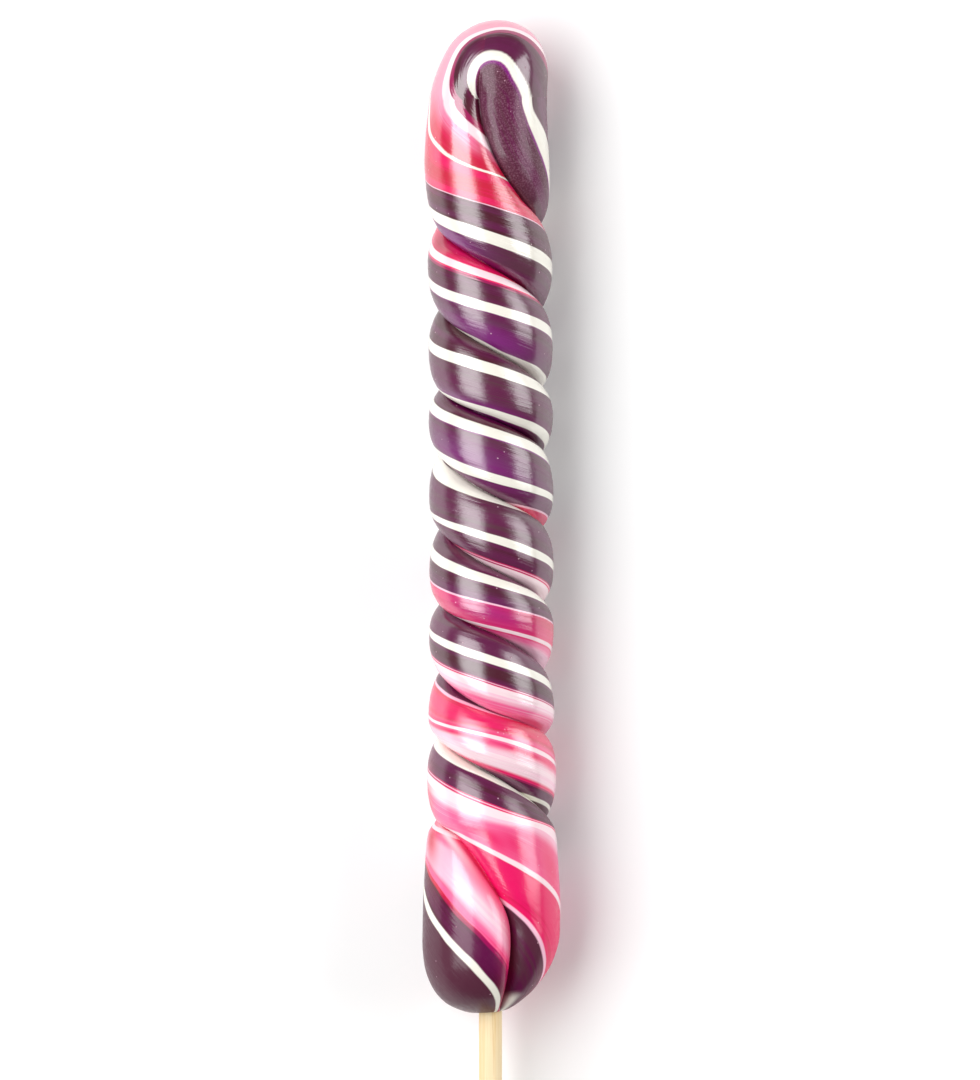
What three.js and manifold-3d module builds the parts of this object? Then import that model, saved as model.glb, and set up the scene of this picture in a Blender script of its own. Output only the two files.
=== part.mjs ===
// Twisted lollipop: one rope of hard candy, folded in half at the top and
// twisted on itself, its two rounded ends pressed round a wooden stick.
// It lies on its back. +Y runs from the stick to the fold, +X is to the right
// as the candy is seen from above, and +Z is up. Millimetres.
import * as THREE from 'three';
import { mergeVertices } from 'three/addons/utils/BufferGeometryUtils.js';
import Module from 'manifold-3d';

const wasm = await Module();
wasm.setup();

// ---- Driving dimensions --------------------------------------------------------

const CANDY_LENGTH = 213.8; // lowest rope end to the top of the fold
const LOBE_RADIUS = 13.4; // axis to the crown of a strand
const STRAND_OFFSET = 3.2; // axis to the middle of a strand's section
const NECK_RADIUS = 11.3; // half the width across the two strands' seam
const CROTCH_HEIGHT = 196.5; // where the two legs of the fold meet
const CREASE_DEPTH = 0.9; // extra depth of the sharp crease between the strands
const CREASE_WIDTH = 9; // degrees to either side that the sharp crease takes
const FOLD_CREASE_END = 0.45; // share of the fold's height that the crease runs up
const FOLD_BLUNTNESS = 2.2; // 2 is an ellipse, more is blunter
const END_LENGTH = 17; // over which the two rope ends round off
const FRONT_END_BLUNTNESS = 2.4;
const BACK_END_BLUNTNESS = 1.75;
const END_SPLIT_HEIGHT = 27; // below this the rope ends part from each other
const END_SPLIT_DEPTH = 0.33; // share of the radius that the split reaches in
const END_SPLIT_WIDTH = 13; // degrees
const SECTION_TILT = 0.035; // rise of each section from left to right
const REST_FLAT_DEPTH = 0.45; // how far the crowns underneath are flattened

const STICK_DIAMETER = 5.05;
const STICK_IN_CANDY = 60;
const STICK_OUT = 130;
const STICK_EDGE = 0.5; // rounding of the stick's ends
const STICK_GAP = 0.3; // room between the stick and the candy

// The twist, counted in half turns. The hand-made twist is uneven, so it is
// given by the height above the rope ends at each quarter turn, and it eases
// out to nothing at the fold and at the rope ends.
const QUARTER_TURN_HEIGHTS = [
  169.6, 160.7, 151.6, 142.9, 134.6, 128.0, 120.7, 111.6, 104.5,
  95.9, 88.4, 81.9, 73.7, 65.1, 59.7, 51.6, 42.1,
];
const TWIST_AT_FOLD = [[CANDY_LENGTH, -0.58], [196.5, -0.57], [186.1, -0.47], [175.2, -0.246]];
const TWIST_AT_ENDS = [[38.9, 8.224], [30.3, 8.455], [18.2, 8.644], [0, 8.71]];

// Thickness along the length, as a share of LOBE_RADIUS, at [height, share].
const THICKNESS = [
  [0, 1.12], [18, 1.115], [24, 1.105], [32, 1.074], [50, 1.04], [75, 1.0],
  [150, 0.995], [170, 1.0], [183, 1.005], [189, 0.98], [196.5, 0.95], [CANDY_LENGTH, 0.95],
];
// How far the axis strays to the side, at [height, millimetres].
const AXIS_DRIFT = [
  [0, -0.3], [25, 0.2], [60, 0.2], [150, 0], [170, -0.3], [186, -0.85],
  [197, -0.5], [206, 0.7], [CANDY_LENGTH, 1.1],
];

// Fineness of the mesh.
const SECTION_STEPS = 36; // points round a section, a multiple of 4
const END_RINGS = 9;
const TWISTED_RINGS = 104;
const FOLD_RINGS = 9;
const STICK_SIDES = 24;

// ---- Curves along the length -----------------------------------------------------

// A smooth curve through [height, value] pairs that never overshoots them.
function smoothThrough(pairs) {
  const knots = [...pairs].sort((a, b) => a[0] - b[0]);
  const steps = knots.slice(1).map((knot, i) => (knot[1] - knots[i][1]) / (knot[0] - knots[i][0]));
  const slopes = knots.map((_, i) => {
    if (i === 0 || i === knots.length - 1) return steps[Math.min(i, steps.length - 1)];
    const product = steps[i - 1] * steps[i];
    return product <= 0 ? 0 : (2 * product) / (steps[i - 1] + steps[i]);
  });
  return (height) => {
    const h = THREE.MathUtils.clamp(height, knots[0][0], knots.at(-1)[0]);
    let i = 0;
    while (i < knots.length - 2 && h > knots[i + 1][0]) i += 1;
    const span = knots[i + 1][0] - knots[i][0];
    const t = (h - knots[i][0]) / span;
    const lower = (1 + 2 * t) * (1 - t) ** 2 * knots[i][1] + t * (1 - t) ** 2 * span * slopes[i];
    const upper = t * t * (3 - 2 * t) * knots[i + 1][1] + t * t * (t - 1) * span * slopes[i + 1];
    return lower + upper;
  };
}

const halfTurnsAt = smoothThrough([
  ...TWIST_AT_FOLD,
  ...QUARTER_TURN_HEIGHTS.map((height, quarter) => [height, quarter / 2]),
  ...TWIST_AT_ENDS,
]);
const thicknessAt = smoothThrough(THICKNESS);
const driftAt = smoothThrough(AXIS_DRIFT);

// Where the front strand's upper crease is at a height, from +Z towards +X.
const creaseAngleAt = (height) => -Math.PI / 2 + Math.PI * halfTurnsAt(height);

// ---- Sections ---------------------------------------------------------------------

// Distance from the axis to the edge of a strand's section, `angle` from its crown:
// an ellipse whose middle lies off the axis.
function strandEdge(angle) {
  const radial = LOBE_RADIUS - STRAND_OFFSET;
  const a = (Math.cos(angle) / radial) ** 2 + (Math.sin(angle) / NECK_RADIUS) ** 2;
  const b = (STRAND_OFFSET * Math.cos(angle)) / radial ** 2;
  return (b + Math.sqrt(b * b + a * (1 - (STRAND_OFFSET / radial) ** 2))) / a;
}

// A notch that fades to either side of the crease: 1 at the crease itself.
const nearCrease = (turn, width) =>
  Math.exp(-((THREE.MathUtils.radToDeg(Math.asin(Math.abs(Math.sin(turn)))) / width) ** 2));

// How full a rope end still is at a height: 1 above it, 0 at its tip.
function endFullness(height, bluntness) {
  const down = THREE.MathUtils.clamp(1 - height / END_LENGTH, 0, 1);
  return (1 - down ** bluntness) ** (1 / bluntness);
}

// Radius of the twisted candy at a height, `turn` radians round from the front
// strand's upper crease. The front strand fills 0 to pi, the back strand the rest.
function twistedRadius(height, turn) {
  const fromCrown = Math.acos(Math.min(1, Math.abs(Math.sin(turn))));
  const rope = strandEdge(fromCrown) - CREASE_DEPTH * nearCrease(turn, CREASE_WIDTH);
  const opening = THREE.MathUtils.smoothstep(END_SPLIT_HEIGHT - height, 0, END_SPLIT_HEIGHT);
  const split = 1 - opening * END_SPLIT_DEPTH * nearCrease(turn, END_SPLIT_WIDTH);
  const front = endFullness(height, FRONT_END_BLUNTNESS);
  const back = endFullness(height, BACK_END_BLUNTNESS);
  const frontShare = 0.5 + 0.5 * Math.sign(Math.sin(turn)) * Math.sqrt(Math.abs(Math.sin(turn)));
  return rope * split * (front * frontShare + back * (1 - frontShare)) * thicknessAt(height);
}

// Radius in the fold, where the rope bends over from one leg to the other: the
// leg's section swung about the crotch. `climb` is 0 at the crotch, 1 at the top.
function foldRadius(climb, turn) {
  const isOutside = (radius) => {
    const sideways = radius * Math.abs(Math.sin(turn));
    const bend = (sideways ** FOLD_BLUNTNESS + (climb * LOBE_RADIUS) ** FOLD_BLUNTNESS)
      ** (1 / FOLD_BLUNTNESS);
    const depth = radius * Math.abs(Math.cos(turn));
    return Math.hypot(bend, depth) > strandEdge(Math.atan2(depth, bend));
  };
  let inside = 0;
  let outside = LOBE_RADIUS;
  for (let halving = 0; halving < 40; halving += 1) {
    const middle = (inside + outside) / 2;
    if (isOutside(middle)) outside = middle;
    else inside = middle;
  }
  const fade = 1 - THREE.MathUtils.smoothstep(climb, 0, FOLD_CREASE_END);
  const crease = CREASE_DEPTH * fade * nearCrease(turn, CREASE_WIDTH);
  return (inside - crease) * thicknessAt(CROTCH_HEIGHT);
}

// ---- Solids from meshes --------------------------------------------------------------

function toSolid(geometry) {
  const bare = geometry.clone();
  bare.deleteAttribute('normal');
  bare.deleteAttribute('uv');
  const merged = mergeVertices(bare, 1e-4);
  return new wasm.Manifold(new wasm.Mesh({
    numProp: 3,
    vertProperties: new Float32Array(merged.attributes.position.array),
    triVerts: new Uint32Array(merged.index.array),
  }));
}

function toGeometry(solid) {
  const mesh = solid.getMesh();
  const geometry = new THREE.BufferGeometry();
  geometry.setAttribute('position', new THREE.BufferAttribute(mesh.vertProperties, 3));
  geometry.setIndex(new THREE.BufferAttribute(mesh.triVerts, 1));
  geometry.computeVertexNormals();
  return geometry;
}

// ---- Candy ---------------------------------------------------------------------------

const MIDDLE_HEIGHT = (CANDY_LENGTH - STICK_OUT) / 2; // of the whole lollipop
const axisLift = (height) => LOBE_RADIUS * thicknessAt(height) - REST_FLAT_DEPTH;
const STICK_LIFT = axisLift(STICK_IN_CANDY / 3);

// Rings from the lowest tip to the top of the fold, as [height, radius at a turn].
function candyRings() {
  const rings = [];
  for (let i = 1; i <= END_RINGS; i += 1) {
    const height = END_LENGTH * (1 - Math.cos((i / END_RINGS) * (Math.PI / 2)));
    rings.push([height, (turn) => twistedRadius(height, turn)]);
  }
  for (let i = 1; i <= TWISTED_RINGS; i += 1) {
    const height = THREE.MathUtils.lerp(END_LENGTH, CROTCH_HEIGHT, i / TWISTED_RINGS);
    rings.push([height, (turn) => twistedRadius(height, turn)]);
  }
  for (let i = 1; i < FOLD_RINGS; i += 1) {
    const climb = Math.sin((i / FOLD_RINGS) * (Math.PI / 2));
    const height = THREE.MathUtils.lerp(CROTCH_HEIGHT, CANDY_LENGTH, climb);
    rings.push([height, (turn) => foldRadius(climb, turn)]);
  }
  return rings;
}

function candyPoint(height, radius, turn) {
  const angle = creaseAngleAt(height) - turn;
  const sideways = radius * Math.sin(angle);
  return [
    driftAt(height) + sideways,
    height - MIDDLE_HEIGHT + SECTION_TILT * sideways,
    axisLift(height) + radius * Math.cos(angle),
  ];
}

function candyGeometry() {
  const rings = candyRings();
  const points = [candyPoint(0, 0, 0)];
  for (const [height, radiusAt] of rings) {
    for (let step = 0; step < SECTION_STEPS; step += 1) {
      const turn = (step / SECTION_STEPS) * 2 * Math.PI;
      points.push(candyPoint(height, radiusAt(turn), turn));
    }
  }
  points.push(candyPoint(CANDY_LENGTH, 0, 0));

  const index = (ring, step) => 1 + ring * SECTION_STEPS + (step % SECTION_STEPS);
  const top = points.length - 1;
  const faces = [];
  for (let step = 0; step < SECTION_STEPS; step += 1) {
    faces.push([0, index(0, step), index(0, step + 1)]);
    for (let ring = 0; ring < rings.length - 1; ring += 1) {
      const beside = index(ring, step + 1);
      const above = index(ring + 1, step);
      faces.push([index(ring, step), above, beside], [beside, above, index(ring + 1, step + 1)]);
    }
    faces.push([top, index(rings.length - 1, step + 1), index(rings.length - 1, step)]);
  }
  const geometry = new THREE.BufferGeometry();
  geometry.setAttribute('position', new THREE.Float32BufferAttribute(points.flat(), 3));
  geometry.setIndex(faces.flat());
  return geometry;
}

// The block that the flat resting spots are cut with.
function floorBlock() {
  const depth = 10;
  const block = new THREE.BoxGeometry(80, 2 * CANDY_LENGTH, depth);
  return block.translate(0, 0, -depth / 2);
}

// A round rod along Y between two heights, with rounded edges.
function rodGeometry(radius, low, high, edge) {
  const length = high - low;
  const profile = new THREE.Path();
  profile.moveTo(0, 0);
  profile.lineTo(radius - edge, 0);
  if (edge > 0) profile.absarc(radius - edge, edge, edge, -Math.PI / 2, 0);
  profile.lineTo(radius, length - edge);
  if (edge > 0) profile.absarc(radius - edge, length - edge, edge, 0, Math.PI / 2);
  profile.lineTo(0, length);
  const rod = new THREE.LatheGeometry(profile.getPoints(3), STICK_SIDES);
  return rod.translate(0, low - MIDDLE_HEIGHT, STICK_LIFT);
}

const socket = rodGeometry(STICK_DIAMETER / 2 + STICK_GAP, -5, STICK_IN_CANDY + STICK_GAP, 0);
const candySolid = toSolid(candyGeometry())
  .subtract(toSolid(floorBlock()))
  .subtract(toSolid(socket));

const candy = new THREE.Mesh(
  toGeometry(candySolid),
  new THREE.MeshStandardMaterial({ color: 0x8a2a62, roughness: 0.18, metalness: 0 }),
);
candy.name = 'candy';

// ---- Stick ---------------------------------------------------------------------------

const stick = new THREE.Mesh(
  rodGeometry(STICK_DIAMETER / 2, -STICK_OUT, STICK_IN_CANDY, STICK_EDGE),
  new THREE.MeshStandardMaterial({ color: 0xf2deb4, roughness: 0.7, metalness: 0 }),
);
stick.name = 'stick';

// ---- Lollipop --------------------------------------------------------------------------

const lollipop = new THREE.Group();
lollipop.add(candy, stick);
const box = new THREE.Box3().setFromObject(lollipop);
lollipop.position.x = -(box.min.x + box.max.x) / 2;

export default lollipop;
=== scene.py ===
# %% [markdown]
# # Twisted lollipop
#
# A rope of pulled sugar, folded in half, twisted on itself and pressed round a wooden stick.
# It lies on its back on a pale floor and is seen from straight above.
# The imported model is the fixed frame: it gives the lollipop's real size and place, in metres.
# Everything made below is fitted to it and stays in it.

# %% Load the frame
import math

import bpy
import numpy as np
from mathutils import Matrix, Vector, noise


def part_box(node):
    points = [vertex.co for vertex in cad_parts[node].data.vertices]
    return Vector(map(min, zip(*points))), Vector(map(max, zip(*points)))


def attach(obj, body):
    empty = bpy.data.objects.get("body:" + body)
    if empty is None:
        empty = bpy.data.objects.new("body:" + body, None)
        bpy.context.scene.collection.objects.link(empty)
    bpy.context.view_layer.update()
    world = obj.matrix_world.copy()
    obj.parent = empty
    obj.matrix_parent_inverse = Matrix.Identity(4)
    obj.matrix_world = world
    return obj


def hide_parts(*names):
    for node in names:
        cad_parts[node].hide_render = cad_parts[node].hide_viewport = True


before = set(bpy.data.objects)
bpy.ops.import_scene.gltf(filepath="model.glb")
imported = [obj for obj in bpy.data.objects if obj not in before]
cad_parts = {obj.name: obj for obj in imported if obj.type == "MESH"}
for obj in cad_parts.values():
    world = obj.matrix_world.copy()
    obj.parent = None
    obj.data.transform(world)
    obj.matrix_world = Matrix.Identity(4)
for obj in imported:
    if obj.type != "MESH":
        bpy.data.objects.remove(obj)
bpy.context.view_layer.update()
_, candy_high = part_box("candy")
stick_low, stick_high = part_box("stick")

# %% [markdown]
# ## Sizes
#
# The sugar is easiest to think about in millimetres, so the sizes are written in millimetres and
# the finished points are turned into metres at the end.
# Heights are counted up the lollipop from the lowest tip of the rope ends to the top of the fold.
# The stick runs up the middle, so its box says where the middle is, and the box of the candy says
# where the heights begin. Nothing is measured twice.

# %% Name the sizes
MM = 0.001
STICK_RADIUS = (stick_high.x - stick_low.x) / 2 / MM
MIDDLE_X = (stick_high.x + stick_low.x) / 2 / MM
STICK_LIFT = (stick_high.z + stick_low.z) / 2 / MM
CANDY_LENGTH = 213.8
HEIGHT_OF_ORIGIN = CANDY_LENGTH - candy_high.y / MM
STICK_IN_CANDY = stick_high.y / MM + HEIGHT_OF_ORIGIN

LOBE_RADIUS = 13.4  # axis to the crown of a strand
STRAND_OFFSET = 3.2  # axis to the middle of a strand's section
NECK_RADIUS = 11.3  # half the width across the seam between the strands
CROTCH_HEIGHT = 196.5  # where the two legs of the fold meet
FOLD_BLUNTNESS = 2.2  # 2 is an ellipse, more is blunter
END_LENGTH = 17.0  # over which the rope ends round off
FRONT_END_BLUNTNESS = 2.4
BACK_END_BLUNTNESS = 1.75
SECTION_TILT = 0.035  # rise of each section from left to right
REST_FLAT_DEPTH = 0.45  # how far the crowns underneath are pressed flat
SOCKET_GAP = 0.3  # room between the stick and the candy

CREASE_DEPTH, CREASE_WIDTH = 0.9, 9.0  # the rounded valley between the strands: mm, degrees
SLIT_DEPTH, SLIT_WIDTH = 0.9, 2.2  # the thin slit at its bottom
FOLD_CREASE_END = 0.45  # share of the fold's height that the crease runs up
SPLIT_HEIGHT, SPLIT_DEPTH, SPLIT_WIDTH = 27.0, 0.33, 13.0  # where the rope ends part
print(f"stick {2 * STICK_RADIUS:.2f} mm across, {STICK_IN_CANDY:.1f} mm of it in the candy")

# %% [markdown]
# ## Curves along the length
#
# A hand-made twist is uneven, so its pace is given at a few heights and a smooth curve runs
# through them. A plain spline would swing past a given value now and then, and the rope would
# unwind for a moment. So each slope is the harmonic mean of the slopes on both sides, which never
# swings past.


# %% A smooth curve through pairs
def smooth_through(pairs):
    knots, values = np.array(sorted(pairs), float).T
    spans = np.diff(knots)
    steps = np.diff(values) / spans
    both = steps[:-1] * steps[1:]
    total = np.where(both > 0, steps[:-1] + steps[1:], 1.0)
    inner = np.where(both > 0, 2 * both / total, 0.0)
    slopes = np.concatenate([steps[:1], inner, steps[-1:]])

    def curve(place):
        x = np.clip(np.asarray(place, float), knots[0], knots[-1])
        i = np.clip(np.searchsorted(knots, x, side="right") - 1, 0, len(spans) - 1)
        t = (x - knots[i]) / spans[i]
        lower = (1 + 2 * t) * (1 - t) ** 2 * values[i] + t * (1 - t) ** 2 * spans[i] * slopes[i]
        bend = t * t * (t - 1) * spans[i] * slopes[i + 1]
        return lower + t * t * (3 - 2 * t) * values[i + 1] + bend

    return curve


# %% The twist, the thickness and the axis
# Heights at each quarter turn of the twist, from the fold down to the rope ends.
QUARTER_TURNS = [
    169.6, 160.7, 151.6, 142.9, 134.6, 128.0, 120.7, 111.6, 104.5,
    95.9, 88.4, 81.9, 73.7, 65.1, 59.7, 51.6, 42.1,
]
TWIST_AT_FOLD = [(CANDY_LENGTH, -0.58), (196.5, -0.57), (186.1, -0.47), (175.2, -0.246)]
TWIST_AT_ENDS = [(38.9, 8.224), (30.3, 8.455), (18.2, 8.644), (0, 8.71)]
half_turns = smooth_through(
    TWIST_AT_FOLD + [(h, i / 2) for i, h in enumerate(QUARTER_TURNS)] + TWIST_AT_ENDS
)
thickness = smooth_through([
    (0, 1.12), (18, 1.115), (24, 1.105), (32, 1.074), (50, 1.04), (75, 1.0),
    (150, 0.995), (170, 1.0), (183, 1.005), (189, 0.98), (196.5, 0.95), (CANDY_LENGTH, 0.95),
])
drift = smooth_through([
    (0, -0.3), (25, 0.2), (60, 0.2), (150, 0), (170, -0.3), (186, -0.85),
    (197, -0.5), (206, 0.7), (CANDY_LENGTH, 1.1),
])


def axis_lift(height):
    return LOBE_RADIUS * thickness(height) - REST_FLAT_DEPTH


print("half turns from fold to ends:", round(float(half_turns(0) - half_turns(CANDY_LENGTH)), 2))

# %% [markdown]
# ## The section
#
# Cut across, the twisted candy is two fat ovals pressed together. Its radius is a function of
# the height and of the `turn` round it, in degrees from the front strand's upper crease:
# the front strand fills 0 to 180 and the back strand fills 180 to 360.
# In the fold the same oval is swung over from one leg to the other. A formula is used instead of
# sections drawn by hand, because every ring of the candy can then ask it for its own shape.


# %% Radius round a section
HALVINGS = 30  # how often a search halves its span


def smoothstep(value, low, high):
    t = np.clip((value - low) / (high - low), 0, 1)
    return t * t * (3 - 2 * t)


def strand_edge(from_crown):
    """Axis to the edge of a strand, at an angle in radians from its crown."""
    radial = LOBE_RADIUS - STRAND_OFFSET
    a = (np.cos(from_crown) / radial) ** 2 + (np.sin(from_crown) / NECK_RADIUS) ** 2
    b = STRAND_OFFSET * np.cos(from_crown) / radial**2
    return (b + np.sqrt(b * b + a * (1 - (STRAND_OFFSET / radial) ** 2))) / a


def near_crease(turn, width):
    """1 at a crease, fading to either side."""
    off = np.degrees(np.arcsin(np.clip(np.abs(np.sin(np.radians(turn))), 0, 1)))
    return np.exp(-((off / width) ** 2))


def valley(turn):
    return CREASE_DEPTH * near_crease(turn, CREASE_WIDTH) + SLIT_DEPTH * near_crease(turn, SLIT_WIDTH)


def end_fullness(height, turn):
    """How full the rope ends still are: 1 above them, 0 at their tips."""
    down = np.clip(1 - height / END_LENGTH, 0, 1)
    front = (1 - down**FRONT_END_BLUNTNESS) ** (1 / FRONT_END_BLUNTNESS)
    back = (1 - down**BACK_END_BLUNTNESS) ** (1 / BACK_END_BLUNTNESS)
    side = np.sin(np.radians(turn))
    share = 0.5 + 0.5 * np.sign(side) * np.sqrt(np.abs(side))
    return front * share + back * (1 - share)


def split(height, turn):
    opening = smoothstep(SPLIT_HEIGHT - height, 0, SPLIT_HEIGHT)
    return 1 - opening * SPLIT_DEPTH * near_crease(turn, SPLIT_WIDTH)


def full_radius(height, turn):
    from_crown = np.arccos(np.clip(np.abs(np.sin(np.radians(turn))), 0, 1))
    rope = strand_edge(from_crown) - valley(turn)
    return rope * split(height, turn) * thickness(height)


def fold_bend(climb, radius, turn):
    sideways = radius * np.abs(np.sin(np.radians(turn)))
    total = sideways**FOLD_BLUNTNESS + (climb * LOBE_RADIUS) ** FOLD_BLUNTNESS
    return total ** (1 / FOLD_BLUNTNESS)


def fold_radius(climb, turn):
    """Radius in the fold; climb is 0 at the crotch and 1 at the top."""
    inside, outside = np.zeros_like(turn), np.full_like(turn, LOBE_RADIUS)
    for _ in range(HALVINGS):
        middle = (inside + outside) / 2
        bend = fold_bend(climb, middle, turn)
        depth = middle * np.abs(np.cos(np.radians(turn)))
        beyond = np.hypot(bend, depth) > strand_edge(np.arctan2(depth, bend))
        inside, outside = np.where(beyond, inside, middle), np.where(beyond, middle, outside)
    fade = 1 - smoothstep(climb, 0, FOLD_CREASE_END)
    return (inside - fade * valley(turn)) * thickness(CROTCH_HEIGHT)


def fold_climb(height):
    return np.clip((height - CROTCH_HEIGHT) / (CANDY_LENGTH - CROTCH_HEIGHT), 0, 1)


def candy_radius(height, turn):
    climb = fold_climb(height)
    twisted = full_radius(height, turn) * end_fullness(height, turn)
    return np.where(climb > 0, fold_radius(climb, turn), twisted)


crown, crease = candy_radius(CANDY_LENGTH / 2, np.array([90.0, 0.0]))
print(f"half way up, the crown is {crown:.1f} mm and the crease {crease:.1f} mm from the axis")

# %% [markdown]
# Every place on the candy is now a height, a turn and a radius. Two helpers go over from these to
# a point in space and back again. The way back is needed after the mesh is smoothed, because new
# vertices then have to be told where on the candy they are.


# %% From a place on the candy to a point, and back
def to_points(height, radius, turn, axis_x, axis_z):
    """Millimetres in, metres out."""
    angle = np.radians(-90 + 180 * half_turns(height) - turn)
    sideways = radius * np.sin(angle)
    x = MIDDLE_X + axis_x + sideways
    y = height - HEIGHT_OF_ORIGIN + SECTION_TILT * sideways
    z = axis_z + radius * np.cos(angle)
    return np.stack([x, y, z], axis=-1) * MM


def measure(points):
    """Height, radius and turn of points in metres."""
    x, y, z = (points / MM).T
    height = y + HEIGHT_OF_ORIGIN
    for _ in range(3):  # the height depends on the drift there, and settles at once
        sideways = x - MIDDLE_X - drift(height)
        height = y + HEIGHT_OF_ORIGIN - SECTION_TILT * sideways
    upwards = z - axis_lift(height)
    angle = np.degrees(np.arctan2(sideways, upwards))
    turn = (-90 + 180 * half_turns(height) - angle) % 360
    return height, np.hypot(sideways, upwards), turn


sample = to_points(100.0, 12.0, np.array([30.0]), drift(100.0), axis_lift(100.0))
print("100 mm up, 12 mm out, turn 30, there and back:", [float(m[0].round(2)) for m in measure(sample)])

# %% [markdown]
# ## The candy: a tube, extruded ring by ring
#
# The real rope is one soft roll of sugar, folded and twisted. A Screw modifier would twist it too,
# but evenly, and this twist has a pace of its own. So it is started as a plain circle and extruded
# again and again, as by hand. The first ring closes the socket that the stick sits in. The rings
# run down the socket to its mouth, turn outwards over the rounded rope ends, and then climb the
# twisted candy to the top. At first they only make a straight tube: which ring and which step a
# vertex belongs to can then be read from where it is.

# %% Lay out the rings
STRAND_STEPS = 24  # steps across one strand, closer together towards the creases
SOCKET_HEIGHTS = (59.0, 40.0, 20.0, 4.0, 1.4)
CAP_RINGS = 9
CAP_BLEND = 2.5  # how fast the cap leaves the round of the socket for the candy's own section
TWISTED_RINGS = 92
FOLD_RINGS = 9

SOCKET_RADIUS = STICK_RADIUS + SOCKET_GAP
mouth_share = SOCKET_RADIUS / (LOBE_RADIUS * thickness(0))
step_turns = 90 * (1 - np.cos(np.radians(180 * np.arange(STRAND_STEPS) / STRAND_STEPS)))
turns = np.concatenate([step_turns, 180 + step_turns])


def height_where_full(share):
    """The height at each turn where the rope ends are this full."""
    low, high = np.zeros_like(turns), np.full_like(turns, END_LENGTH)
    for _ in range(HALVINGS):
        middle = (low + high) / 2
        fuller = end_fullness(middle, turns) > share
        low, high = np.where(fuller, low, middle), np.where(fuller, middle, high)
    return middle


def socket_ring(height):
    angle = np.radians(-90 + 180 * half_turns(height) - turns)
    x = MIDDLE_X + SOCKET_RADIUS * np.sin(angle)
    z = STICK_LIFT + SOCKET_RADIUS * np.cos(angle)
    return np.stack([x, np.full_like(x, height - HEIGHT_OF_ORIGIN), z], axis=-1) * MM


def cap_ring(i):
    """From the mouth of the socket out to the full width of the rope ends."""
    out = math.sin(math.radians(90 * i / CAP_RINGS))
    share = mouth_share + (1 - mouth_share) * out
    height = height_where_full(share)
    blend = min(1.0, CAP_BLEND * out)
    radius = share * ((1 - blend) * SOCKET_RADIUS / mouth_share + blend * full_radius(height, turns))
    lift = (1 - blend) * STICK_LIFT + blend * axis_lift(height)
    return to_points(height, radius, turns, blend * drift(height), lift)


def twisted_ring(i):
    height = END_LENGTH + (CROTCH_HEIGHT - END_LENGTH) * i / TWISTED_RINGS
    radius = full_radius(height, turns)
    return to_points(height, radius, turns, drift(height), axis_lift(height))


def fold_ring(i):
    climb = math.sin(math.radians(90 * i / FOLD_RINGS))
    height = CROTCH_HEIGHT + climb * (CANDY_LENGTH - CROTCH_HEIGHT)
    radius = fold_radius(climb, turns)
    return to_points(height, radius, turns, drift(height), axis_lift(height))


rings = [socket_ring(STICK_IN_CANDY + SOCKET_GAP)]
rings += [socket_ring(height) for height in SOCKET_HEIGHTS]
rings += [cap_ring(i) for i in range(CAP_RINGS + 1)]
rings += [twisted_ring(i) for i in range(1, TWISTED_RINGS + 1)]
rings += [fold_ring(i) for i in range(1, FOLD_RINGS)]
top = to_points(CANDY_LENGTH, 0.0, 0.0, drift(CANDY_LENGTH), axis_lift(CANDY_LENGTH))
print(len(rings), "rings of", len(turns), "vertices")


# %% Helpers for edit mode
def start_piece(name):
    """The newly added primitive, named, alone in edit mode with nothing selected."""
    piece = bpy.context.object
    piece.name = piece.data.name = name
    bpy.ops.object.mode_set(mode="EDIT")
    bpy.ops.mesh.select_all(action="DESELECT")
    return piece


def get_points(piece):
    points = np.empty(3 * len(piece.data.vertices), np.float32)
    piece.data.vertices.foreach_get("co", points)
    return points.reshape(-1, 3).astype(float)


def set_points(piece, points):
    piece.data.vertices.foreach_set("co", np.asarray(points, np.float32).ravel())
    piece.data.update()


# %% Extrude the straight tube
DRAFT_RADIUS = 10 * MM  # any size will do, as every ring is put in its place later
bpy.ops.object.select_all(action="DESELECT")
bpy.ops.mesh.primitive_circle_add(
    vertices=len(turns), radius=DRAFT_RADIUS, fill_type="NOTHING", rotation=(math.radians(90), 0, 0)
)
bpy.ops.object.transform_apply(rotation=True)
candy = start_piece("twisted_candy")
bpy.ops.mesh.select_mode(type="EDGE")
bpy.ops.mesh.select_all(action="SELECT")
bpy.ops.mesh.edge_face_add()
for _ in rings[1:]:
    bpy.ops.mesh.extrude_edges_move(TRANSFORM_OT_translate={"value": (0, MM, 0)})
bpy.ops.mesh.extrude_edges_move(TRANSFORM_OT_translate={"value": (0, MM, 0)})
bpy.ops.mesh.merge(type="CENTER")
bpy.ops.mesh.select_all(action="SELECT")
bpy.ops.object.mode_set(mode="OBJECT")
print("the tube has", len(candy.data.vertices), "vertices")

# %% [markdown]
# Now each ring goes where the candy needs it. A vertex of the straight tube says which ring it
# is in by how far along it is, and which step of the ring by its angle.

# %% Give the tube its twisted shape
draft = get_points(candy)
ring_of = np.rint(draft[:, 1] / MM).astype(int)
step_of = np.rint(np.degrees(np.arctan2(draft[:, 2], draft[:, 0])) % 360 / (360 / len(turns)))
step_of = step_of.astype(int) % len(turns)
at_top = ring_of == len(rings)
shaped = np.array(rings)[np.minimum(ring_of, len(rings) - 1), step_of]
shaped[at_top] = top
set_points(candy, shaped)
print("the candy is", round(float(shaped[:, 1].max() - shaped[:, 1].min()) / MM, 1), "mm long")

# %% [markdown]
# A subdivision surface rounds the steps off. It would fill the creases between the strands as
# well, so the edges that run along them are creased up to where they fade out in the fold.

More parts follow.
